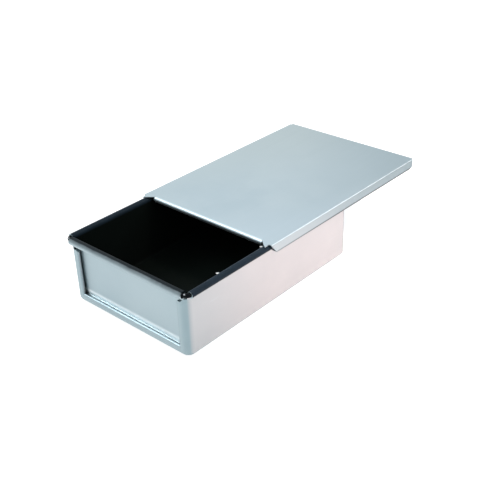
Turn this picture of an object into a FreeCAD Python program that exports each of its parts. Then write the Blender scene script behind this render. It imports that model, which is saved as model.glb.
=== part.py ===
import FreeCAD, Part
import math
import os
import Sketcher
from FreeCAD import Placement, Rotation, Vector

# Loaf pan with a sliding lid, in millimetres.
# X runs across the pan, Y along it and Z up. The origin is the middle of the pan's underside.
# The lid is drawn part-way open, slid towards +Y.

DIMENSIONS = (
    ("sheet_thickness", 0.8, "gauge of every sheet"),
    ("body_width", 123.8, "over the side walls"),
    ("body_length", 187.9, "over the frame strips"),
    ("corner_bend", 6.5, "outside radius of the four upright bends"),
    ("floor_bend", 3.4, "outside radius of the bends round the floor"),
    ("strip_width", 9.2, "upright frame strips, from the side of the pan"),
    ("strip_height", 7.2, "bottom frame strip, from the underside"),
    ("strip_top", 46.2, "where the upright strips stop below the rim"),
    ("bend_top", 48.6, "where the upright bends stop, just under the rims"),
    ("shoulder_start", 5.0, "foot of the slope from strip to bend, from the side of the pan"),
    ("shoulder_end", 2.8, "top of that slope"),
    ("strip_corner", 1.4, "clipped upper corner of the upright strips"),
    ("hem_thickness", 2.7, "rolled inner edge of the frame strips"),
    ("hem_return", 3.6, "width of the folded layer"),
    ("vent_diameter", 3.4, "vent holes in the floor"),
    ("vent_pitch", 55.0, "spacing of the vent holes along the floor"),
    ("vent_count", 3.0, "vent holes"),
    ("vent_shift", 1.6, "middle vent hole, behind the middle of the pan"),
    ("rim_level", 52.75, "height of the rim wire's centre line"),
    ("wire_diameter", 3.4, "rim wire"),
    ("wire_corner", 3.0, "centre-line radius of the wire's corners"),
    ("wire_slack", 0.1, "gap between the wire and the side rims rolled round it"),
    ("curl_sweep", 300.0, "degrees of sheet rolled round the wire"),
    ("side_rim_setback", 3.55, "side rims stop this far short of the ends"),
    ("wall_setback", 2.65, "upper side walls stop this far short of the ends"),
    ("end_rim_level", 52.15, "height of the centre line of the end rims' roll"),
    ("end_rim_bore", 2.4, "inside radius of that looser roll"),
    ("end_rim_setback", 2.3, "end rims stop this far short of the sides"),
    ("plate_recess", 3.45, "end panels, behind the face of the strips"),
    ("plate_inset", 2.2, "end panels between the upright bends, from the side of the pan"),
    ("plate_gap", 0.1, "end panels above the bends, to the side walls"),
    ("plate_corner", 4.0, "rounded lower corners of the end panels"),
    ("foot_fold", 0.65, "thickness of the fold along the foot of an end panel, behind the strip"),
    ("foot_fold_top", 6.9, "height of that fold's upper edge"),
    ("foot_fold_end", 10.2, "the fold stops this far short of the sides of the pan"),
    ("lid_half_width", 68.4, "half of the lid, over its channels"),
    ("lid_top", 56.3, "top face of the lid"),
    ("lid_front", -9.4, "front of the lid's front roll"),
    ("lid_rear", 184.2, "rear face of the lid's rear flange"),
    ("lid_roll_radius", 2.6, "outside radius of the lid's front roll"),
    ("front_roll_half", 57.5, "half length of the front roll, inside the rims"),
    ("flange_half", 66.4, "half length of the rear flange, between the channels"),
    ("flange_depth", 5.0, "lid's top face to the foot of the rear flange"),
    ("channel_rear", 2.8, "channels stop this far short of the rear flange"),
    ("channel_depth", 8.55, "lid's top face to the foot of a channel"),
    ("channel_return", 5.4, "width of the lip turned in under a rim"),
    ("channel_bend", 1.0, "outside radius of the lid's bends"),
    ("ear_reach", 4.8, "corner ears, in front of the front roll"),
    ("ear_inner", 64.6, "tip of an ear, from the middle"),
    ("ear_outer", 65.4, "outer side of an ear, from the middle"),
    ("ear_root", 2.0, "length of an ear's straight root"),
    ("channel_lead", 0.6, "foremost point of a channel, in front of the front roll"),
    ("channel_slant", 5.8, "foot of the channel's slanted front, behind the front roll"),
    ("heel_length", 5.0, "bevel at the rear foot of a channel, along it"),
    ("heel_height", 2.2, "bevel at the rear foot of a channel, upwards"),
)

# Lengths worked out from the sheet and used by more than one piece.
INNER_WALL = "dims.body_width / 2 - dims.sheet_thickness"
CURL_INNER = "dims.wire_diameter / 2 + dims.wire_slack"
CURL_OUTER = CURL_INNER + " + dims.sheet_thickness"
SIDE_RIM_X = INNER_WALL + " + " + CURL_OUTER
END_INNER = "dims.body_length / 2 - dims.sheet_thickness"
PLATE_FACE = "dims.body_length / 2 - dims.plate_recess"
END_CURL_OUTER = "dims.end_rim_bore + dims.sheet_thickness"
END_RIM_Y = PLATE_FACE + " + dims.end_rim_bore"
RIM_FOOT = "dims.rim_level - (" + CURL_OUTER + ")"
LID_UNDER = "dims.lid_top - dims.sheet_thickness"
LID_ROLL_Z = "dims.lid_top - dims.lid_roll_radius"
LID_ROLL_BORE = "dims.lid_roll_radius - dims.sheet_thickness"
OVERSIZE = 20.0
LEG_OVERLAP = 3.0
TOLERANCE = 1e-4

doc = FreeCAD.newDocument("loaf_pan")
sheet = doc.addObject("Spreadsheet::Sheet", "dims")
for row, (alias, number, note) in enumerate(DIMENSIONS, start=1):
    sheet.set("A%d" % row, alias)
    sheet.set("B%d" % row, str(number))
    sheet.set("C%d" % row, note)
    sheet.setAlias("B%d" % row, alias)
doc.recompute()


def value(expression):
    """Number that an expression on the sheet comes to."""
    result = sheet.evalExpression(expression)
    return float(getattr(result, "Value", result))


def minus(expression):
    return "-(" + expression + ")"


def origin_plane(body, role):
    for feature in body.Origin.OriginFeatures:
        if feature.Role == role:
            return feature
    raise ValueError("no plane " + role)


def new_body(name):
    body = doc.addObject("PartDesign::Body", name)
    body.Label = name
    body.Placement = Placement()
    return body


def new_sketch(body, name, role, offset=None):
    """Sketch on one of the body's own origin planes, moved along its normal by offset."""
    sketch = body.newObject("Sketcher::SketchObject", name)
    sketch.AttachmentSupport = [(origin_plane(body, role), "")]
    sketch.MapMode = "FlatFace"
    if offset is not None:
        sketch.setExpression("AttachmentOffset.Base.z", offset)
    return sketch


def bind(sketch, constraint, expression):
    index = sketch.addConstraint(constraint)
    sketch.setExpression("Constraints[%d]" % index, expression)


def bind_point(sketch, geometry, position, across, up):
    """Holds a point of the sketch at two expressions, measured from its origin."""
    point = (value(across), value(up))
    rows = (("DistanceX", -2, across, point[0]), ("DistanceY", -1, up, point[1]))
    for kind, axis, expression, length in rows:
        if abs(length) < TOLERANCE:
            sketch.addConstraint(Sketcher.Constraint("PointOnObject", geometry, position, axis))
        else:
            bind(sketch, Sketcher.Constraint(kind, -1, 1, geometry, position, length), expression)


def add_polygon(sketch, corners):
    """Closed outline through corners, each a pair of expressions."""
    points = [Vector(value(across), value(up), 0) for across, up in corners]
    count = len(points)
    first = sketch.GeometryCount
    for index in range(count):
        sketch.addGeometry(Part.LineSegment(points[index], points[(index + 1) % count]), False)
    for index in range(count):
        following = first + (index + 1) % count
        sketch.addConstraint(Sketcher.Constraint("Coincident", first + index, 2, following, 1))
    for index, (across, up) in enumerate(corners):
        bind_point(sketch, first + index, 1, across, up)


def rectangle(left, bottom, right, top):
    return ((left, bottom), (right, bottom), (right, top), (left, top))


def mirrored_outline(corners):
    """The same outline on the other side of the sketch's upright axis."""
    return tuple((minus(across), up) for across, up in reversed(corners))


def add_curl(sketch, centre, outer, inner, leg_angle, turn, leg_length):
    """Sheet that ends in a roll: a straight leg, tangent to a ring open by the rest of curl_sweep.

    leg_angle is where the leg meets the ring, in degrees, and turn is 1 for a ring drawn
    anticlockwise from there, or -1.
    """
    middle = Vector(value(centre[0]), value(centre[1]), 0)
    large = value(outer)
    small = value(inner)
    start = math.radians(leg_angle)
    finish = start + turn * math.radians(value("dims.curl_sweep"))
    towards = Vector(math.cos(start), math.sin(start), 0)
    along = Vector(math.sin(start), -math.cos(start), 0) * turn
    free = Vector(math.cos(finish), math.sin(finish), 0)
    low, high = min(start, finish), max(start, finish)
    leg_pos = 1 if turn > 0 else 2
    free_pos = 3 - leg_pos
    corner = [middle + towards * radius + along * leg_length for radius in (large, small)]
    outer_leg = sketch.addGeometry(Part.LineSegment(corner[0], middle + towards * large), False)
    circle = Part.Circle(middle, Vector(0, 0, 1), large)
    outer_arc = sketch.addGeometry(Part.ArcOfCircle(circle, low, high), False)
    cut_edge = sketch.addGeometry(Part.LineSegment(middle + free * large, middle + free * small), False)
    circle = Part.Circle(middle, Vector(0, 0, 1), small)
    inner_arc = sketch.addGeometry(Part.ArcOfCircle(circle, low, high), False)
    inner_leg = sketch.addGeometry(Part.LineSegment(middle + towards * small, corner[1]), False)
    leg_end = sketch.addGeometry(Part.LineSegment(corner[1], corner[0]), False)
    add = sketch.addConstraint
    add(Sketcher.Constraint("Tangent", outer_leg, 2, outer_arc, leg_pos))
    add(Sketcher.Constraint("Coincident", outer_arc, free_pos, cut_edge, 1))
    add(Sketcher.Constraint("Coincident", cut_edge, 2, inner_arc, free_pos))
    add(Sketcher.Constraint("Tangent", inner_arc, leg_pos, inner_leg, 1))
    add(Sketcher.Constraint("Coincident", inner_leg, 2, leg_end, 1))
    add(Sketcher.Constraint("Coincident", leg_end, 2, outer_leg, 1))
    add(Sketcher.Constraint("Coincident", outer_arc, 3, inner_arc, 3))
    add(Sketcher.Constraint("PointOnObject", outer_arc, 3, cut_edge))
    upright = abs(along.y) > abs(along.x)
    add(Sketcher.Constraint("Vertical" if upright else "Horizontal", outer_leg))
    add(Sketcher.Constraint("Perpendicular", leg_end, outer_leg))
    bind_point(sketch, outer_arc, 3, centre[0], centre[1])
    bind(sketch, Sketcher.Constraint("Radius", outer_arc, large), outer)
    bind(sketch, Sketcher.Constraint("Radius", inner_arc, small), inner)
    add(Sketcher.Constraint("Distance", outer_leg, leg_length))
    kind = "DistanceX" if upright else "DistanceY"
    ratio = free.x if upright else free.y
    opening = Sketcher.Constraint(kind, outer_arc, 3, cut_edge, 1, ratio * large)
    bind(sketch, opening, "%.9f * (%s)" % (ratio, outer))


def pad(body, name, sketch, length, midplane=True, reverse=False):
    feature = body.newObject("PartDesign::Pad", name)
    feature.Profile = sketch
    feature.SideType = "Symmetric" if midplane else "One side"
    feature.Reversed = reverse
    feature.setExpression("Length", length)
    return feature


def pocket_through(body, name, sketch):
    """Cuts a sketch's outline right through the body, both ways."""
    feature = body.newObject("PartDesign::Pocket", name)
    feature.Profile = sketch
    feature.Type = "ThroughAll"
    feature.SideType = "Symmetric"
    return feature


def edges_where(feature, test):
    """Names of the feature's edges whose middle point and direction pass a test."""
    names = []
    for number, edge in enumerate(feature.Shape.Edges, start=1):
        middle = edge.valueAt((edge.FirstParameter + edge.LastParameter) / 2)
        ends = [vertex.Point for vertex in edge.Vertexes]
        run = ends[-1] - ends[0]
        if run.Length > TOLERANCE:
            run.normalize()
        if test(middle, run, edge):
            names.append("Edge%d" % number)
    if not names:
        raise ValueError("no edges found on " + feature.Name)
    return names


def round_edges(body, name, base, names, radius):
    feature = body.newObject("PartDesign::Fillet", name)
    feature.Base = (base, names)
    feature.setExpression("Radius", radius)
    doc.recompute()
    return feature


def near(first, second, margin=0.01):
    return abs(first - second) < margin


def build_body_wrap():
    """Floor, side walls, frame strips and side rims, folded from one sheet."""
    body = new_body("body_wrap")
    half_length = value("dims.body_length") / 2
    plan = new_sketch(body, "wrap_plan", "XY_Plane")
    add_polygon(plan, rectangle("-dims.body_width / 2", "-dims.body_length / 2",
                                "dims.body_width / 2", "dims.body_length / 2"))
    block = pad(body, "wrap_block", plan, "dims.bend_top", midplane=False)
    doc.recompute()
    names = edges_where(block, lambda middle, run, edge: near(abs(run.z), 1))
    bends = round_edges(body, "upright_bends", block, names, "dims.corner_bend")
    names = edges_where(bends, lambda middle, run, edge: near(middle.z, 0))
    bends = round_edges(body, "floor_bends", bends, names, "dims.floor_bend")

    shell = body.newObject("PartDesign::Thickness", "wrap_shell")
    top = [n for n, face in enumerate(bends.Shape.Faces, start=1)
           if near(face.CenterOfMass.z, value("dims.bend_top"))]
    shell.Base = (bends, ["Face%d" % top[0]])
    shell.Reversed = True
    shell.Mode = "Skin"
    shell.Join = "Arc"
    shell.setExpression("Value", "dims.sheet_thickness")
    doc.recompute()

    # The strips' edges are folded back on themselves, on the inside of the strips.
    hem = new_sketch(body, "hem_outline", "XZ_Plane", END_INNER)
    opening = "dims.body_width / 2 - dims.strip_width"
    add_polygon(hem, (
        (opening, "dims.strip_height"),
        (opening, "dims.strip_top"),
        (opening + " + dims.hem_return", "dims.strip_top"),
        (opening + " + dims.hem_return", "dims.strip_height - dims.hem_return"),
        (minus(opening + " + dims.hem_return"), "dims.strip_height - dims.hem_return"),
        (minus(opening + " + dims.hem_return"), "dims.strip_top"),
        (minus(opening), "dims.strip_top"),
        (minus(opening), "dims.strip_height")))
    fold = pad(body, "hem_fold", hem, "dims.hem_thickness - dims.sheet_thickness",
               midplane=False, reverse=True)
    both = body.newObject("PartDesign::Mirrored", "hem_folds")
    both.Originals = [fold]
    both.MirrorPlane = (origin_plane(body, "XZ_Plane"), [""])
    body.Tip = both
    doc.recompute()

    # Each end opening, with the slopes that lead from the strips up to the bends.
    windows = new_sketch(body, "window_outline", "XZ_Plane")
    half = (
        (opening, "dims.strip_height"),
        (opening, "dims.strip_top - dims.strip_corner"),
        (opening + " + dims.strip_corner", "dims.strip_top"),
        ("dims.body_width / 2 - dims.shoulder_start", "dims.strip_top"),
        ("dims.body_width / 2 - dims.shoulder_end", "dims.bend_top"),
        ("dims.body_width / 2 - dims.shoulder_end", "dims.rim_level"))
    add_polygon(windows, half + mirrored_outline(half))
    cut = pocket_through(body, "windows", windows)
    doc.recompute()
    edge_x = value(opening)
    edge_z = value("dims.strip_height")
    faces_y = (half_length, half_length - value("dims.hem_thickness"))

    def on_window(middle, run, edge):
        beside = near(abs(middle.x), edge_x) and near(abs(run.z), 1)
        below = near(middle.z, edge_z) and near(abs(run.x), 1)
        return (beside or below) and any(near(abs(middle.y), y) for y in faces_y)

    names = edges_where(cut, on_window)
    cut = round_edges(body, "hem_edges", cut, names, "dims.hem_thickness / 2 - 0.02")

    # Above the bends the side walls run straight to the ends, and roll outwards over the wire.
    wall = new_sketch(body, "upper_walls", "XZ_Plane")
    upper = rectangle(INNER_WALL, "dims.bend_top", "dims.body_width / 2", RIM_FOOT)
    add_polygon(wall, upper)
    add_polygon(wall, mirrored_outline(upper))
    pad(body, "upper_wall", wall, "dims.body_length - 2 * dims.wall_setback")
    rim = new_sketch(body, "side_rim_section", "XZ_Plane")
    add_curl(rim, (SIDE_RIM_X, "dims.rim_level"), CURL_OUTER, CURL_INNER, 180, -1, LEG_OVERLAP)
    add_curl(rim, (minus(SIDE_RIM_X), "dims.rim_level"), CURL_OUTER, CURL_INNER, 0, 1, LEG_OVERLAP)
    pad(body, "side_rims", rim, "dims.body_length - 2 * dims.side_rim_setback")
    doc.recompute()

    first = new_sketch(body, "vent_outline", "XY_Plane")
    radius = value("dims.vent_diameter / 2")
    start = "dims.vent_shift - dims.vent_pitch * (dims.vent_count - 1) / 2"
    first.addGeometry(Part.Circle(Vector(0, value(start), 0), Vector(0, 0, 1), radius), False)
    bind_point(first, 0, 3, "0", start)
    bind(first, Sketcher.Constraint("Radius", 0, radius), "dims.vent_diameter / 2")
    vent = pocket_through(body, "vent", first)
    row = body.newObject("PartDesign::LinearPattern", "vent_row")
    row.Originals = [vent]
    row.Direction = (first, ["V_Axis"])
    row.setExpression("Length", "dims.vent_pitch * (dims.vent_count - 1)")
    row.setExpression("Occurrences", "dims.vent_count")
    body.Tip = row
    return body


def build_end_plate(name, turn):
    """End panel with its rolled rim, drawn at the front and turned about Z for the rear."""
    body = new_body(name)
    thickness = "dims.sheet_thickness"
    face = minus(PLATE_FACE)
    section = new_sketch(body, "panel_section", "YZ_Plane")
    add_polygon(section, rectangle(face, thickness, face + " + " + thickness, "dims.end_rim_level"))
    pad(body, "panel", section, "dims.body_width")

    # The panel fits between the upright bends of the wrap. Above them it reaches the side walls
    # and closes the corners, and at the rim it clears the wire's corners.
    inset = new_sketch(body, "panel_sides", "XZ_Plane")
    bottom = "-%g" % OVERSIZE
    top = "dims.rim_level + %g" % OVERSIZE
    beyond = "dims.body_width / 2 + %g" % OVERSIZE
    between_bends = "dims.body_width / 2 - dims.plate_inset"
    between_walls = INNER_WALL + " - dims.plate_gap"
    between_corners = "dims.body_width / 2 - dims.end_rim_setback"
    shoulder = "dims.bend_top + 2 * dims.plate_gap"
    side = (
        (beyond, top),
        (between_corners, top),
        (between_corners, RIM_FOOT),
        (between_walls, RIM_FOOT),
        (between_walls, shoulder),
        (between_bends, shoulder),
        (between_bends, bottom),
        (beyond, bottom))
    add_polygon(inset, side)
    add_polygon(inset, mirrored_outline(side))
    cut = pocket_through(body, "panel_sides_cut", inset)
    doc.recompute()
    names = edges_where(cut, lambda middle, run, edge: near(abs(run.y), 1)
                        and near(middle.z, value(thickness)))
    round_edges(body, "panel_corners", cut, names, "dims.plate_corner")
    fold = new_sketch(body, "foot_fold_section", "YZ_Plane")
    add_polygon(fold, rectangle(face + " - dims.foot_fold", "dims.foot_fold_top - dims.hem_return",
                                face, "dims.foot_fold_top"))
    pad(body, "foot_fold", fold, "dims.body_width - 2 * dims.foot_fold_end")
    rim = new_sketch(body, "end_rim_section", "YZ_Plane")
    add_curl(rim, (minus(END_RIM_Y), "dims.end_rim_level"), END_CURL_OUTER, "dims.end_rim_bore",
             0, 1, LEG_OVERLAP)
    pad(body, "end_rim", rim, "dims.body_width - 2 * dims.end_rim_setback")
    body.Placement = Placement(Vector(), Rotation(Vector(0, 0, 1), turn))
    return body


def build_rim_wire():
    """Closed wire loop inside the rolled rims, bare at the four corners."""
    body = new_body("rim_wire")
    side, end, bend = value(SIDE_RIM_X), value(END_RIM_Y), value("dims.wire_corner")
    path = new_sketch(body, "wire_path", "XY_Plane", "dims.rim_level")
    lines = []
    arcs = []
    quarter = math.pi / 2
    corners = ((1, 1), (-1, 1), (-1, -1), (1, -1))
    starts = [(side, 0)]
    for number, (across, along) in enumerate(corners):
        centre = Vector(across * (side - bend), along * (end - bend), 0)
        tips = [centre + Vector(math.cos(angle), math.sin(angle), 0) * bend
                for angle in (number * quarter, (number + 1) * quarter)]
        here = Vector(starts[-1][0], starts[-1][1], 0)
        lines.append(path.addGeometry(Part.LineSegment(here, tips[0]), False))
        circle = Part.Circle(centre, Vector(0, 0, 1), bend)
        arc = Part.ArcOfCircle(circle, number * quarter, (number + 1) * quarter)
        arcs.append(path.addGeometry(arc, False))
        starts.append((tips[1].x, tips[1].y))
    here = Vector(starts[-1][0], starts[-1][1], 0)
    lines.append(path.addGeometry(Part.LineSegment(here, Vector(side, 0, 0)), False))
    for number, arc in enumerate(arcs):
        path.addConstraint(Sketcher.Constraint("Tangent", lines[number], 2, arc, 1))
        path.addConstraint(Sketcher.Constraint("Tangent", arc, 2, lines[number + 1], 1))
        bind(path, Sketcher.Constraint("Radius", arc, bend), "dims.wire_corner")
    path.addConstraint(Sketcher.Constraint("Coincident", lines[4], 2, lines[0], 1))
    path.addConstraint(Sketcher.Constraint("PointOnObject", lines[0], 1, -1))
    path.addConstraint(Sketcher.Constraint("Vertical", lines[0]))
    path.addConstraint(Sketcher.Constraint("Vertical", lines[4]))
    path.addConstraint(Sketcher.Constraint("Vertical", lines[2]))
    bind(path, Sketcher.Constraint("DistanceX", -1, 1, lines[0], 1, side), SIDE_RIM_X)
    bind(path, Sketcher.Constraint("DistanceX", -1, 1, lines[2], 1, -side), minus(SIDE_RIM_X))
    bind(path, Sketcher.Constraint("DistanceY", -1, 1, lines[1], 1, end), END_RIM_Y)
    bind(path, Sketcher.Constraint("DistanceY", -1, 1, lines[3], 1, -end), minus(END_RIM_Y))
    section = new_sketch(body, "wire_section", "XZ_Plane")
    radius = value("dims.wire_diameter / 2")
    middle = Vector(side, value("dims.rim_level"), 0)
    section.addGeometry(Part.Circle(middle, Vector(0, 0, 1), radius), False)
    bind_point(section, 0, 3, SIDE_RIM_X, "dims.rim_level")
    bind(section, Sketcher.Constraint("Radius", 0, radius), "dims.wire_diameter / 2")
    doc.recompute()
    wire = body.newObject("PartDesign::AdditivePipe", "wire")
    wire.Profile = section
    wire.Spine = (path, ["Edge%d" % (n + 1) for n in range(len(lines) + len(arcs))])
    return body


def build_lid():
    """Flat top, channels that hook under the side rims, front roll, rear flange and corner ears."""
    body = new_body("lid")
    thickness = "dims.sheet_thickness"
    foot = "dims.lid_top - dims.channel_depth"
    lip = "dims.lid_half_width - dims.channel_return"
    ear_tip = "dims.lid_front - dims.ear_reach"
    roll_front = "dims.lid_front + dims.lid_roll_radius"
    flange_root = "dims.lid_rear - %g" % LEG_OVERLAP
    channel_end = "dims.lid_rear - dims.channel_rear"
    section = new_sketch(body, "lid_section", "XZ_Plane", minus("dims.lid_rear"))
    right = (
        ("dims.lid_half_width", "dims.lid_top"),
        ("dims.lid_half_width", foot),
        (lip, foot),
        (lip, foot + " + " + thickness),
        ("dims.lid_half_width - " + thickness, foot + " + " + thickness),
        ("dims.lid_half_width - " + thickness, LID_UNDER))
    add_polygon(section, right + mirrored_outline(right))
    folded = pad(body, "lid_sheet", section, "dims.lid_rear - (" + ear_tip + ")", midplane=False)
    doc.recompute()
    outer_x = value("dims.lid_half_width")

    def bend_at(offset):
        levels = (value("dims.lid_top") - offset, value(foot) + offset)

        def on_bend(middle, run, edge):
            return (near(abs(run.y), 1) and near(abs(middle.x), outer_x - offset)
                    and any(near(middle.z, level) for level in levels))
        return on_bend

    names = edges_where(folded, bend_at(0.0))
    folded = round_edges(body, "bends_outside", folded, names, "dims.channel_bend")
    names = edges_where(folded, bend_at(value(thickness)))
    folded = round_edges(body, "bends_inside", folded, names, "dims.channel_bend - " + thickness)

    # Seen from above: the sheet is cut back for the front roll, which leaves an ear at each front
    # corner, and for the rear flange. The channels stop short of the flange.
    trim = new_sketch(body, "corner_cuts", "XY_Plane")
    ahead = ear_tip + " - %g" % OVERSIZE
    behind = "dims.lid_rear + %g" % OVERSIZE
    aside = "dims.lid_half_width + %g" % OVERSIZE
    shoulder = (
        ("dims.ear_inner", ear_tip),
        ("dims.front_roll_half", "dims.lid_front + dims.ear_root / 2"),
        ("dims.front_roll_half", roll_front))
    left_shoulder = tuple((minus(across), along) for across, along in reversed(shoulder))
    add_polygon(trim, (("dims.ear_inner", ahead),) + shoulder + left_shoulder
                + ((minus("dims.ear_inner"), ahead),))
    channel_tip = "dims.lid_front - dims.channel_lead"
    outside = rectangle("dims.ear_outer", ahead, aside, channel_tip)
    add_polygon(trim, outside)
    add_polygon(trim, mirrored_outline(outside))
    add_polygon(trim, (
        (minus("dims.flange_half"), flange_root),
        ("dims.flange_half", flange_root),
        ("dims.flange_half", channel_end),
        (aside, channel_end),
        (aside, behind),
        (minus(aside), behind),
        (minus(aside), channel_end),
        (minus("dims.flange_half"), channel_end)))
    pocket_through(body, "corners", trim)

    # Seen from the side: slanted fronts and bevelled heels of the channels.
    ends = new_sketch(body, "channel_ends", "YZ_Plane")
    below = foot + " - %g" % 1.0
    add_polygon(ends, (
        (ahead, below),
        ("dims.lid_front + dims.channel_slant", below),
        ("dims.lid_front + dims.channel_slant", foot),
        (channel_tip, LID_UNDER),
        (ahead, LID_UNDER)))
    add_polygon(ends, (
        (channel_end + " - dims.heel_length", foot),
        (channel_end + " - dims.heel_length", below),
        (behind, below),
        (behind, foot + " + dims.heel_height"),
        (channel_end, foot + " + dims.heel_height")))
    pocket_through(body, "channel_fronts_and_heels", ends)

    roll = new_sketch(body, "front_roll_section", "YZ_Plane")
    add_curl(roll, (roll_front, LID_ROLL_Z), "dims.lid_roll_radius", LID_ROLL_BORE, 90, 1, LEG_OVERLAP)
    pad(body, "front_roll", roll, "2 * dims.front_roll_half")
    flange = new_sketch(body, "flange_section", "YZ_Plane")
    add_polygon(flange, (
        (flange_root, "dims.lid_top"),
        (flange_root, LID_UNDER),
        ("dims.lid_rear - " + thickness, LID_UNDER),
        ("dims.lid_rear - " + thickness, "dims.lid_top - dims.flange_depth"),
        ("dims.lid_rear", "dims.lid_top - dims.flange_depth"),
        ("dims.lid_rear", "dims.lid_top")))
    folded = pad(body, "rear_flange", flange, "2 * dims.flange_half")
    doc.recompute()

    def fold_at(offset):
        def on_fold(middle, run, edge):
            return (near(abs(run.x), 1) and near(middle.y, value("dims.lid_rear") - offset)
                    and near(middle.z, value("dims.lid_top") - offset))
        return on_fold

    names = edges_where(folded, fold_at(0.0))
    folded = round_edges(body, "flange_outside", folded, names, "dims.channel_bend")
    names = edges_where(folded, fold_at(value(thickness)))
    round_edges(body, "flange_inside", folded, names, "dims.channel_bend - " + thickness)
    return body


pieces = [
    build_body_wrap(),
    build_end_plate("front_end_plate", 0),
    build_end_plate("rear_end_plate", 180),
    build_rim_wire(),
    build_lid(),
]
doc.recompute()

for item in doc.Objects:
    if "Invalid" in item.State or "Error" in item.State:
        raise RuntimeError("%s did not compute: %s" % (item.Name, item.State))
os.makedirs("parts", exist_ok=True)
for piece in pieces:
    shape = piece.Shape
    if shape.isNull() or not shape.isValid() or len(shape.Solids) != 1:
        raise RuntimeError(piece.Label + " is not one valid solid")
for piece in pieces:
    piece.Shape.exportStep("parts/%s.step" % piece.Label)
    box = piece.Shape.BoundBox
    print("%-16s volume %9.1f  x %.2f..%.2f  y %.2f..%.2f  z %.2f..%.2f" % (
        piece.Label, piece.Shape.Volume, box.XMin, box.XMax, box.YMin, box.YMax, box.ZMin, box.ZMax))
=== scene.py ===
import math

import bpy
from mathutils import Matrix, Vector


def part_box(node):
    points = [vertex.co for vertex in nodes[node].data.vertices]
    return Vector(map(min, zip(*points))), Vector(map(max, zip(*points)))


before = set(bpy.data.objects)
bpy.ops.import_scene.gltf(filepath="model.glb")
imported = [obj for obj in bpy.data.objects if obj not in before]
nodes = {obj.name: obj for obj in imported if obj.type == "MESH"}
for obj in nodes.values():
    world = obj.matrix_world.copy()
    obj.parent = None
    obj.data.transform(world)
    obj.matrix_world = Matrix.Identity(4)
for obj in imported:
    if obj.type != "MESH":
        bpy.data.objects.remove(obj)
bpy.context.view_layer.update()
scene = bpy.context.scene

# Corners of the pieces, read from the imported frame, in metres.
WRAP_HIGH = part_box("body_wrap")[1]
LID_LOW, LID_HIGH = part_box("lid")
PLATE_LOW, PLATE_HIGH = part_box("front_end_plate")
WIRE_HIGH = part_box("rim_wire")[1]

# The sheet, its bends and the rolled rims, in metres.
SHEET = 0.0008
UPRIGHT_BEND = 0.0065
FLOOR_BEND = 0.0034
SIDE_ROLL_RADIUS = 0.0026
END_ROLL_RADIUS = 0.0032

# Faces and heights that bound the finishes, in metres. The last two are just above the walls' bend
# into their rims, and just short of the side rims' cut ends.
WALL_FACE = WRAP_HIGH.x - 2 * SIDE_ROLL_RADIUS + SHEET
STRIP_FACE = WRAP_HIGH.y
RIM_FOOT = WRAP_HIGH.z - 2 * SIDE_ROLL_RADIUS
PLATE_INNER = -PLATE_HIGH.y
SIDE_ROLL_X = WRAP_HIGH.x - SIDE_ROLL_RADIUS
SIDE_ROLL_Z = WRAP_HIGH.z - SIDE_ROLL_RADIUS
END_ROLL_Y = -PLATE_LOW.y - END_ROLL_RADIUS
END_ROLL_Z = PLATE_HIGH.z - END_ROLL_RADIUS
BEND_TOP = 0.04865
SIDE_RIM_END = 0.09036

# Directions (outwards, up) across a rim. Along the side rim's, a painted sheen on its top starts and
# ends at points (outwards, up) in metres, and drops away towards its lower side as painted shade;
# along the end rim's, the coating thins out to bare sheet. The fades are metres from the middle of the
# roll.
SIDE_SHEEN = (0.2, 0.766)
SIDE_SHEEN_FROM = (0.0637, 0.0505)
SIDE_SHEEN_TO = (0.0637, 0.0525)
SIDE_LOWER_EDGE = (-0.36, 0.93)
SIDE_LOWER_FADE = (0.0022, 0.0012)
END_WEAR = (-0.613, 0.790)
END_WEAR_FADE = (-0.0025, 0.0015)

# Height of the foot of the end panels that is smoother and painted lighter (a painted reflection), its
# fade, and the painted shade along its base.
PLATE_SMOOTH_SHEEN = 0.0130
SHEEN_FADE = 0.003
BASE_SHADE_LINE = (0.0060, 0.0050)

# Middle of the painted highlight on a corner of the wire, and the radii between which it fades.
WIRE_CORNER = (WIRE_HIGH.x - 0.00366, WIRE_HIGH.y - 0.0009, WIRE_HIGH.z - 0.0004)
HIGHLIGHT_SPOT = (0.0003, 0.0008)

# Linear colours. Each sheet has the light and the dark end of its mottling.
LID_METAL = ((0.404, 0.480, 0.512, 1.0), (0.350, 0.428, 0.466, 1.0))
PLATE_METAL = ((0.392, 0.474, 0.504, 1.0), (0.345, 0.428, 0.462, 1.0))
WRAP_METAL = ((0.352, 0.436, 0.464, 1.0), (0.310, 0.392, 0.424, 1.0))
# Side walls: a lighter, warmer copy of the sheet's tone, painted light from the side.
WALL_LIT_METAL = ((0.545, 0.518, 0.524, 1.0), (0.495, 0.475, 0.484, 1.0))
SCRATCHED_METAL = (0.60, 0.66, 0.69, 1.0)
# Painted highlight and painted reflection.
HIGHLIGHT_METAL = (0.80, 0.86, 0.88, 1.0)
# Painted shade, for bends, crevices and the rear of the lid's channels.
SHADE_METAL = (0.12, 0.20, 0.23, 1.0)
# Lid: painted light and shade over its top, painted shade along its channels' feet, and a grey painted
# on its channel sides.
LID_GREY = (0.405, 0.468, 0.476, 1.0)
LID_DARK = (0.330, 0.410, 0.444, 1.0)
LID_LIGHT = (0.412, 0.494, 0.540, 1.0)
LID_FOOT_SHADE = (0.02, 0.024, 0.026, 1.0)
CHANNEL_PAINTED_GREY = (0.44, 0.44, 0.44, 1.0)
COATING = (0.0050, 0.0072, 0.0064, 1.0)
# Painted sheen on the top of the rims, over the coating.
RIM_SHEEN_COATING = (0.0145, 0.0245, 0.036, 1.0)
WIRE_DARK = (0.0020, 0.0028, 0.0030, 1.0)
WIRE_LIGHT = (0.0032, 0.0046, 0.0060, 1.0)
# Painted highlight on the wire's corners.
WIRE_HIGHLIGHT = (0.42, 0.45, 0.47, 1.0)
FLOOR_GREY = (0.46, 0.46, 0.46, 1.0)
WHITE = (1.0, 1.0, 1.0, 1.0)

METALLIC = 0.95
COATING_GLOSS = 0.05
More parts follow.
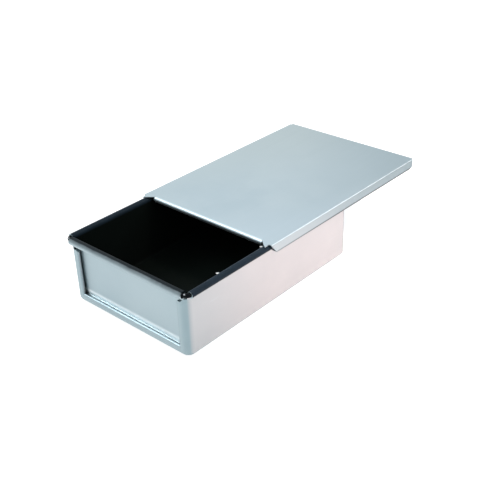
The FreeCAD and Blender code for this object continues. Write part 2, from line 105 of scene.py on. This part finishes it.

# Rolled sheet: the noise bands that show as mottling and as scratches, how much each part adds to the
# mottling, how strongly scratches tint it and painted shade darkens its bends, and its roughness from
# smooth to rough.
MOTTLE_BAND = (0.36, 0.64)
SCRATCH_BAND = (0.70, 0.78)
STREAK_SHARE, CLOUD_SHARE, PATCH_SHARE = 0.25, 0.45, 0.30
SCRATCH_TINT = 0.10
BEND_SHADE = 0.6
UNDER_BEND_SHADE = 1.8
SHEET_ROUGHNESS = (0.37, 0.43)
CLOUD_ROUGHNESS = (-0.02, 0.03)
SHEET_RELIEF = 0.000015

# Side walls: towards their front end, along Y in metres, the painted light gives way to some of the
# cooler tone of the sheet.
WALL_FRONT = (-0.09, 0.0)
WALL_FRONT_SHARE = 0.32

# Lid: the lean along Y of the painted light and shade over its top and its unevenness, how far each
# painted tone comes in, and the painted shade of the channels, the painted highlight on the bends
# above them and the painted shade along their feet, with the places along Y and Z where it changes.
DRIFT_LEAN = 0.6
DRIFT_UNEVEN = 0.02
DRIFT_TINT = 0.8
LID_REAR = (-0.02, 0.11)
CHANNEL_TINT = 0.45
CHANNEL_REAR_SHADE = 0.38
BEND_HIGHLIGHT = 0.42
BEND_DEPTH = 0.0015
FOOT_BAND = (0.0009, 0.0022)
FOOT_SHADE, FOOT_REAR_SHADE = 0.50, 0.45

# Coatings: roughness from smooth to rough, what haze adds to it, and the depth of the orange peel.
COATING_ROUGHNESS = (0.30, 0.38)
COATING_HAZE_ROUGHNESS = (-0.03, 0.05)
WIRE_ROUGHNESS = (0.06, 0.09)
WIRE_HAZE_ROUGHNESS = (0.0, 0.03)
PEEL_RELIEF = 0.00001

# The band of any noise that the roughness of a surface follows.
NOISE_BAND = (0.3, 0.7)

# Stretch of the grain along X, Y and Z: small along the rolling direction.
GRAIN_ALONG = (1.0, 0.03, 1.0)
GRAIN_ACROSS = (0.03, 1.0, 1.0)
SCRATCH_GRAIN = (1.0, 0.07, 1.0)

# Noise by scale per metre, detail and roughness.
STREAKS = (90.0, 4.0, 0.6)
FINE_GRAIN = (700.0, 2.0, 0.5)
CLOUDS = (26.0, 4.0, 0.55)
PATCHES = (9.0, 2.0, 0.5)
SCRATCHES = (800.0, 1.0, 0.4)
LID_DRIFT = (22.0, 3.0, 0.5)
COATING_SPECKS = (900.0, 2.0, 0.6)
COATING_HAZE = (60.0, 3.0, 0.6)
RIM_EDGE = (120.0, 3.0, 0.6)
WIRE_SPECKS = (700.0, 2.0, 0.6)
WIRE_HAZE = (80.0, 3.0, 0.6)

# How squarely a face looks along X before it counts as a side face.
SIDE_FACING = (0.80, 0.98)

# World: strength at the horizon and overhead, its share towards +X, and the bands of height and of
# X between which they change.
WORLD_LOW = 0.98
WORLD_HIGH = 2.06
WORLD_RIGHT = 0.50
WORLD_HEIGHTS = (0.34, 0.66)
WORLD_SIDES = (-0.58, -0.32)
WORLD_TINT = (0.94, 0.975, 1.0, 1.0)
FLOOR_GLOW = 0.74
FLOOR_SIZE = 60.0

# Softboxes by name, direction from the object, width and height in metres, power and colour.
SOFTBOX_DISTANCE = 1.6
SOFTBOX_TARGET = Vector((0.0, 0.05, 0.03))
SOFTBOXES = (
    ("left_softbox", (-0.59, -0.44, 0.69), (0.55, 0.55), 7.5, (0.97, 0.99, 1.0)),
    ("rear_softbox", (0.49, 0.64, 0.59), (0.4, 0.4), 3.4, (0.97, 0.98, 1.0)),
    ("key", (0.53, 0.34, 0.78), (0.06, 0.06), 0.9, (1.0, 1.0, 1.0)),
)

# A warm spot on the long wall at +X.
WARM_PLACE = (0.45, 0.16, 0.60)
WARM_TARGET = (0.12, 0.11, 0.0)
WARM_ANGLE = 24.0
WARM_SOFTNESS = 0.15
WARM_POWER = 56.0
WARM_COLOR = (1.0, 0.82, 0.77)

# Camera: azimuth, elevation and roll in degrees, distance from its target in metres, lens in mm.
CAMERA_AZIMUTH = 42.79
CAMERA_ELEVATION = 29.64
CAMERA_ROLL = -2.19
CAMERA_DISTANCE = 0.7338
CAMERA_TARGET = Vector((-0.02267, 0.05444, 0.0))
CAMERA_LENS = 63.08
CAMERA_SENSOR = 36.0
CAMERA_CLIP = (0.01, 20.0)


def set_camera():
    """Makes the scene's camera from its angles, distance and lens."""
    azimuth = math.radians(CAMERA_AZIMUTH)
    elevation = math.radians(CAMERA_ELEVATION)
    roll = math.radians(CAMERA_ROLL)
    back = Vector((math.sin(azimuth) * math.cos(elevation),
                   -math.cos(azimuth) * math.cos(elevation),
                   math.sin(elevation)))
    level = Vector((math.cos(azimuth), math.sin(azimuth), 0.0))
    upright = back.cross(level)
    right = level * math.cos(roll) + upright * math.sin(roll)
    up = upright * math.cos(roll) - level * math.sin(roll)
    data = bpy.data.cameras.new("camera")
    data.lens = CAMERA_LENS
    data.sensor_width = CAMERA_SENSOR
    data.clip_start, data.clip_end = CAMERA_CLIP
    camera = bpy.data.objects.new("camera", data)
    scene.collection.objects.link(camera)
    axes = Matrix((right, up, back)).transposed().to_4x4()
    camera.matrix_world = Matrix.Translation(CAMERA_TARGET + back * CAMERA_DISTANCE) @ axes
    scene.camera = camera


# A mix node's first input and its output, for numbers and for colours.
MIX_SOCKETS = {"FLOAT": (2, 0), "RGBA": (6, 2)}


class Nodes:
    """Short way to lay out the nodes of a material or of the world."""

    def __init__(self, owner, coordinates="Object"):
        owner.use_nodes = True
        self.owner = owner
        self.tree = owner.node_tree
        self.tree.nodes.clear()
        self.place = self.add("ShaderNodeTexCoord").outputs[coordinates]

    def add(self, kind, **settings):
        node = self.tree.nodes.new(kind)
        for key, setting in settings.items():
            setattr(node, key, setting)
        return node

    def join(self, source, target):
        self.tree.links.new(source, target)

    def put(self, socket, item):
        """Links a socket or sets a constant on an input."""
        if isinstance(item, bpy.types.NodeSocket):
            self.join(item, socket)
        else:
            socket.default_value = item

    def math(self, operation, first, second=0.0, clamp=False):
        node = self.add("ShaderNodeMath", operation=operation, use_clamp=clamp)
        self.put(node.inputs[0], first)
        self.put(node.inputs[1], second)
        return node.outputs[0]

    def times(self, first, *others):
        for other in others:
            first = self.math("MULTIPLY", first, other)
        return first

    def plus(self, first, *others):
        for other in others:
            first = self.math("ADD", first, other)
        return first

    def minus(self, first, second):
        return self.math("SUBTRACT", first, second)

    def larger(self, first, second):
        return self.math("MAXIMUM", first, second)

    def size(self, item):
        return self.math("ABSOLUTE", item)

    def above(self, item, limit):
        return self.math("GREATER_THAN", item, limit)

    def below(self, item, limit):
        return self.math("LESS_THAN", item, limit)

    def axes(self):
        """The place along X, Y and Z, in metres."""
        node = self.add("ShaderNodeSeparateXYZ")
        self.join(self.place, node.inputs[0])
        return node.outputs

    def facing(self):
        """How squarely the surface faces along X, along Y (either way) and down."""
        split = self.add("ShaderNodeSeparateXYZ")
        self.join(self.add("ShaderNodeNewGeometry").outputs["Normal"], split.inputs[0])
        x, y, z = split.outputs
        return self.size(x), self.size(y), self.larger(self.times(z, -1.0), 0.0)

    def stretched(self, scales):
        """The place with each axis scaled, for grain that runs one way."""
        node = self.add("ShaderNodeVectorMath", operation="MULTIPLY")
        self.join(self.place, node.inputs[0])
        node.inputs[1].default_value = scales
        return node.outputs[0]

    def noise(self, vector, scale, detail, roughness):
        node = self.add("ShaderNodeTexNoise")
        self.put(node.inputs["Vector"], vector)
        node.inputs["Scale"].default_value = scale
        node.inputs["Detail"].default_value = detail
        node.inputs["Roughness"].default_value = roughness
        return node.outputs["Fac"]

    def ramp(self, factor, low, high, start=0.0, end=1.0, shape="SMOOTHSTEP"):
        """Maps factor from low..high to start..end, and holds it there beyond."""
        node = self.add("ShaderNodeMapRange", interpolation_type=shape)
        self.put(node.inputs["Value"], factor)
        node.inputs["From Min"].default_value = low
        node.inputs["From Max"].default_value = high
        node.inputs["To Min"].default_value = start
        node.inputs["To Max"].default_value = end
        return node.outputs["Result"]

    def mix(self, factor, first, second, kind="RGBA"):
        """The first where factor is 0 and the second where it is 1, as colours or as numbers."""
        node = self.add("ShaderNodeMix", data_type=kind)
        first_input, output = MIX_SOCKETS[kind]
        self.put(node.inputs[0], factor)
        self.put(node.inputs[first_input], first)
        self.put(node.inputs[first_input + 1], second)
        return node.outputs[output]

    def bump(self, height, distance, strength, normal=None):
        node = self.add("ShaderNodeBump")
        self.put(node.inputs["Height"], height)
        node.inputs["Distance"].default_value = distance
        node.inputs["Strength"].default_value = strength
        if normal is not None:
            self.join(normal, node.inputs["Normal"])
        return node.outputs["Normal"]

    def shader(self, color, metallic, roughness, normal=None):
        node = self.add("ShaderNodeBsdfPrincipled")
        self.put(node.inputs["Base Color"], color)
        self.put(node.inputs["Metallic"], metallic)
        self.put(node.inputs["Roughness"], roughness)
        if normal is not None:
            self.join(normal, node.inputs["Normal"])
        return node

    def finish(self, shader, output="ShaderNodeOutputMaterial"):
        self.join(shader.outputs[0], self.add(output).inputs["Surface"])
        return self.owner


def new_nodes(name):
    """Nodes of a new material."""
    return Nodes(bpy.data.materials.new(name))


def satin_layers(n, grain, tones, wall_tones=None, under_bends=False):
    """Colour, roughness and normal of rolled sheet: mottled, streaked and scratched along its grain,
    with painted shade where it bends. wall_tones are the colours of its side faces, painted lighter
    and warmer as light from the side."""
    across, along, downward = n.facing()
    grained = n.stretched(grain)
    streaks = n.noise(grained, *STREAKS)
    fine = n.noise(grained, *FINE_GRAIN)
    cloud = n.noise(n.place, *CLOUDS)
    patch = n.noise(n.place, *PATCHES)
    scratch = n.ramp(n.noise(n.stretched(SCRATCH_GRAIN), *SCRATCHES), *SCRATCH_BAND)
    mottle = n.plus(n.times(streaks, STREAK_SHARE), n.times(cloud, CLOUD_SHARE),
                    n.times(patch, PATCH_SHARE))
    shade = n.ramp(mottle, *MOTTLE_BAND)
    light, dark = tones
    color = n.mix(shade, dark, light)
    # Faces looking along X take the wall tones: painted light from the side, fading towards the front.
    if wall_tones:
        wall_light, wall_dark = wall_tones
        rear = n.mix(shade, wall_dark, wall_light)
        front = n.mix(WALL_FRONT_SHARE, rear, light)
        wall = n.mix(n.ramp(n.axes()[1], *WALL_FRONT), front, rear)
        color = n.mix(n.ramp(across, *SIDE_FACING), color, wall)
    color = n.mix(n.times(scratch, SCRATCH_TINT), color, SCRATCHED_METAL)
    # Painted shade on bends that face diagonally in plan, and with under_bends on bends facing down.
    bend_shade = n.times(across, along, BEND_SHADE)
    if under_bends:
        under = n.math("MULTIPLY", n.times(across, downward), UNDER_BEND_SHADE, clamp=True)
        bend_shade = n.larger(bend_shade, under)
    color = n.mix(bend_shade, color, SHADE_METAL)
    rough = n.plus(n.ramp(streaks, *NOISE_BAND, *SHEET_ROUGHNESS),
                   n.ramp(cloud, *NOISE_BAND, *CLOUD_ROUGHNESS))
    height = n.minus(n.plus(streaks, n.times(fine, 0.6)), n.times(scratch, 0.5))
    return color, rough, n.bump(height, SHEET_RELIEF, 0.5)


def lid_sheet(name, grain, tones):
    """Rolled sheet with painted light and shade drifting over the top, a painted highlight on its side
    bends, and channels painted grey, with painted shade towards the rear and along their feet."""
    n = new_nodes(name)
    color, rough, normal = satin_layers(n, grain, tones, under_bends=True)
    across = n.facing()[0]
    x, y, z = n.axes()
    # Painted light and shade drifting over the lid's top.
    light_drift = n.plus(n.times(y, DRIFT_LEAN), n.times(n.noise(n.place, *LID_DRIFT), DRIFT_UNEVEN))
    for reach, low, high, tone in ((n.minus(light_drift, x), 0.02, 0.17, LID_GREY),
                                   (n.plus(light_drift, x), 0.05, 0.18, LID_DARK),
                                   (n.minus(x, light_drift), -0.03, 0.06, LID_LIGHT)):
        color = n.mix(n.ramp(reach, low, high, 0.0, DRIFT_TINT), color, tone)
    # Channel sides painted grey, with painted shade towards the rear.
    rearward = n.ramp(y, *LID_REAR)
    side = n.ramp(across, *SIDE_FACING)
    color = n.mix(n.times(side, CHANNEL_TINT), color, CHANNEL_PAINTED_GREY)
    color = n.mix(n.times(side, n.times(rearward, CHANNEL_REAR_SHADE)), color, SHADE_METAL)
    # Painted highlight on the bends above the channels.
    bend = n.times(n.ramp(across, 0.10, 0.40), n.ramp(across, *SIDE_FACING, 1.0, 0.0),
                   n.above(z, LID_HIGH.z - BEND_DEPTH))
    color = n.mix(n.times(bend, BEND_HIGHLIGHT), color, HIGHLIGHT_METAL)
    # Painted shade along the channels' feet.
    foot = n.times(n.ramp(z, LID_LOW.z + FOOT_BAND[0], LID_LOW.z + FOOT_BAND[1], 1.0, 0.0),
                   n.ramp(across, 0.30, 0.60))
    foot_shade = n.plus(n.times(rearward, FOOT_REAR_SHADE), FOOT_SHADE)
    color = n.mix(n.times(foot, foot_shade), color, LID_FOOT_SHADE)
    return n.finish(n.shader(color, METALLIC, rough, normal))


def coated_sheet(name, grain, tones, mask, wall_tones=None, smooth_sheen_to=0.0):
    """Rolled sheet with the dark non-stick coating wherever mask(n) is 1, and with its foot smoother
    and painted lighter, a painted reflection, up to a height, with painted shade below a line near its
    base."""
    n = new_nodes(name)
    color, rough, normal = satin_layers(n, grain, tones, wall_tones)
    if smooth_sheen_to:
        up = n.axes()[2]
        foot = n.ramp(up, smooth_sheen_to - SHEEN_FADE, smooth_sheen_to, 1.0, 0.0)
        base_shade = n.ramp(up, smooth_sheen_to - BASE_SHADE_LINE[0], smooth_sheen_to - BASE_SHADE_LINE[1], 0.35, 0.0)
        # The foot is smoother, and painted lighter as a painted reflection; below a line near the base
        # it gets painted shade.
        rough = n.minus(rough, n.times(foot, 0.08))
        color = n.mix(n.times(foot, 0.85), color, HIGHLIGHT_METAL)
        color = n.mix(base_shade, color, SHADE_METAL)
    coated, rim = mask(n)
    speck = n.noise(n.place, *COATING_SPECKS)
    haze = n.noise(n.place, *COATING_HAZE)
    # Painted sheen on a rim's top, uneven with the haze.
    rim_sheen = n.times(rim, n.ramp(haze, *NOISE_BAND, 0.75, 1.0))
    color = n.mix(coated, color, n.mix(rim_sheen, COATING, RIM_SHEEN_COATING))
    metallic = n.times(n.minus(1.0, coated), METALLIC)
    coat_rough = n.plus(n.ramp(speck, *NOISE_BAND, *COATING_ROUGHNESS),
                        n.ramp(haze, *NOISE_BAND, *COATING_HAZE_ROUGHNESS))
    peel = n.bump(n.times(speck, coated), PEEL_RELIEF, 0.4, normal)
    shader = n.shader(color, metallic, n.mix(coated, rough, coat_rough, "FLOAT"), peel)
    shader.inputs["Specular IOR Level"].default_value = COATING_GLOSS
    return n.finish(shader)


def rounded(n, over_a, over_b, radius):
    """Distance from an edge rounded to radius, given how far a point is past each straight side."""
    a = n.larger(over_a, 0.0)
    b = n.larger(over_b, 0.0)
    reach = n.math("SQRT", n.plus(n.times(a, a), n.times(b, b)))
    deep = n.math("MINIMUM", n.larger(over_a, over_b), 0.0)
    return n.minus(n.plus(reach, deep), radius)


def skin_depth(n, beside, along, z):
    """How far a point lies outside the wrap's outer skin, negative within it."""
    over_x = n.minus(beside, WALL_FACE - UPRIGHT_BEND)
    over_y = n.minus(along, STRIP_FACE - UPRIGHT_BEND)
    plan = rounded(n, over_x, over_y, UPRIGHT_BEND)
    return rounded(n, n.plus(plan, FLOOR_BEND), n.minus(FLOOR_BEND, z), FLOOR_BEND)


def slant(direction, point):
    """How far a point (outwards, up) lies along a direction across a rim."""
    return direction[0] * point[0] + direction[1] * point[1]


def slanted(n, direction, out, up):
    """The same for the place on the surface."""
    return n.plus(n.times(up, direction[1]), n.times(out, direction[0]))


def wrap_mask(n):
    """Coating inside the pan and all round the side rims, and how much painted sheen a rim's top
    takes, less on its lower side.
    """
    x, y, z = n.axes()
    beside = n.size(x)
    along = n.size(y)
    inside = n.times(n.below(skin_depth(n, beside, along, z), -SHEET / 2),
                     n.below(along, PLATE_INNER + SHEET))
    upper = n.times(n.above(z, BEND_TOP), n.below(beside, WALL_FACE - SHEET / 2))
    rim = n.times(n.above(z, RIM_FOOT), n.below(along, SIDE_RIM_END))
    # Painted sheen over the top of the side rim, with painted shade darkening its lower side.
    sheen = n.ramp(slanted(n, SIDE_SHEEN, beside, z),
                  slant(SIDE_SHEEN, SIDE_SHEEN_FROM), slant(SIDE_SHEEN, SIDE_SHEEN_TO))
    middle = slant(SIDE_LOWER_EDGE, (SIDE_ROLL_X, SIDE_ROLL_Z))
    lower_shade = n.ramp(slanted(n, SIDE_LOWER_EDGE, beside, z),
                   middle - SIDE_LOWER_FADE[0], middle - SIDE_LOWER_FADE[1], 0.30, 1.0)
    return n.larger(n.larger(inside, upper), rim), n.times(rim, n.times(sheen, lower_shade))


def plate_mask(n):
    """Coating on the inner face and over the end rim, where it thins out to bare sheet, and a painted
    sheen over the end rim's top.
    """
    _, y, z = n.axes()
    along = n.size(y)
    inner = n.below(along, PLATE_INNER + SHEET / 2)
    uneven = n.times(n.minus(n.noise(n.place, *RIM_EDGE), 0.5), 0.0010)
    middle = slant(END_WEAR, (END_ROLL_Y, END_ROLL_Z))
    fade = n.ramp(n.plus(slanted(n, END_WEAR, along, z), uneven),
                  middle + END_WEAR_FADE[0], middle + END_WEAR_FADE[1], shape="LINEAR")
    # Painted sheen over the top of the end rim.
    rim = n.times(n.above(z, END_ROLL_Z - END_ROLL_RADIUS), 0.35)
    return n.larger(inner, fade), rim


def black_coating(name):
    """Glossy coating on the wire, with a grey painted highlight on the outside of its four corners."""
    n = new_nodes(name)
    speck = n.noise(n.place, *WIRE_SPECKS)
    haze = n.noise(n.place, *WIRE_HAZE)
    quadrant = n.add("ShaderNodeVectorMath", operation="ABSOLUTE")
    n.join(n.place, quadrant.inputs[0])
    reach = n.add("ShaderNodeVectorMath", operation="DISTANCE")
    n.join(quadrant.outputs[0], reach.inputs[0])
    reach.inputs[1].default_value = WIRE_CORNER
    # Painted highlight on the outside of each corner.
    glint = n.ramp(reach.outputs["Value"], *HIGHLIGHT_SPOT, 1.0, 0.0)
    color = n.mix(n.ramp(haze, 0.35, 0.65), WIRE_DARK, WIRE_LIGHT)
    color = n.mix(glint, color, WIRE_HIGHLIGHT)
    rough = n.plus(n.ramp(speck, *NOISE_BAND, *WIRE_ROUGHNESS),
                   n.ramp(haze, *NOISE_BAND, *WIRE_HAZE_ROUGHNESS))
    shader = n.shader(color, 0.0, rough, n.bump(speck, PEEL_RELIEF, 0.3))
    shader.inputs["Specular IOR Level"].default_value = COATING_GLOSS
    return n.finish(shader)


def assign(node, material):
    """Gives a CAD node its material."""
    mesh = nodes[node].data
    mesh.materials.clear()
    mesh.materials.append(material)


def add_light(kind, name, place, target, power, color, **settings):
    """Adds a lamp at a place, aimed at its target."""
    data = bpy.data.lights.new(name, kind)
    data.energy = power
    data.color = color
    for key, setting in settings.items():
        setattr(data, key, setting)
    light = bpy.data.objects.new(name, data)
    scene.collection.objects.link(light)
    light.location = place
    aim = Vector(target) - Vector(place)
    light.rotation_euler = aim.to_track_quat("-Z", "Y").to_euler()


def set_world():
    """A pale studio all round: brighter overhead and dimmer towards +X."""
    n = Nodes(bpy.data.worlds.new("studio"), "Generated")
    x, _, z = n.axes()
    background = n.add("ShaderNodeBackground")
    background.inputs["Color"].default_value = WORLD_TINT
    overhead = n.ramp(z, *WORLD_HEIGHTS, WORLD_LOW, WORLD_HIGH, "LINEAR")
    n.put(background.inputs["Strength"], n.times(overhead, n.ramp(x, *WORLD_SIDES, 1.0, WORLD_RIGHT)))
    scene.world = n.finish(background, "ShaderNodeOutputWorld")


def set_lights():
    """Softboxes round the object and the warm spot."""
    for name, direction, (width, height), power, color in SOFTBOXES:
        place = SOFTBOX_TARGET + Vector(direction).normalized() * SOFTBOX_DISTANCE
        add_light("AREA", name, place, SOFTBOX_TARGET, power, color,
                  shape="RECTANGLE", size=width, size_y=height)
    add_light("SPOT", "warm_side", WARM_PLACE, WARM_TARGET, WARM_POWER, WARM_COLOR,
              spot_size=math.radians(WARM_ANGLE), spot_blend=1.0, shadow_soft_size=WARM_SOFTNESS)


def add_floor():
    """A wide, plain, pale floor that gives off light, so that hardly any shadow shows on it."""
    bpy.ops.mesh.primitive_plane_add(size=FLOOR_SIZE, location=(0, 0, 0))
    floor = bpy.context.object
    floor.name = "studio_floor"
    n = new_nodes("studio_floor")
    shader = n.shader(FLOOR_GREY, 0.0, 0.9)
    shader.inputs["Emission Color"].default_value = WHITE
    shader.inputs["Emission Strength"].default_value = FLOOR_GLOW
    floor.data.materials.append(n.finish(shader))


scene.view_settings.view_transform = "Standard"
set_camera()
set_world()
set_lights()
add_floor()

assign("body_wrap", coated_sheet("wrap_sheet", GRAIN_ALONG, WRAP_METAL, wrap_mask, WALL_LIT_METAL))
for end in ("front_end_plate", "rear_end_plate"):
    assign(end, coated_sheet(end + "_sheet", GRAIN_ACROSS, PLATE_METAL, plate_mask,
                             smooth_sheen_to=PLATE_SMOOTH_SHEEN))
assign("rim_wire", black_coating("wire_coating"))
assign("lid", lid_sheet("lid_sheet", GRAIN_ALONG, LID_METAL))
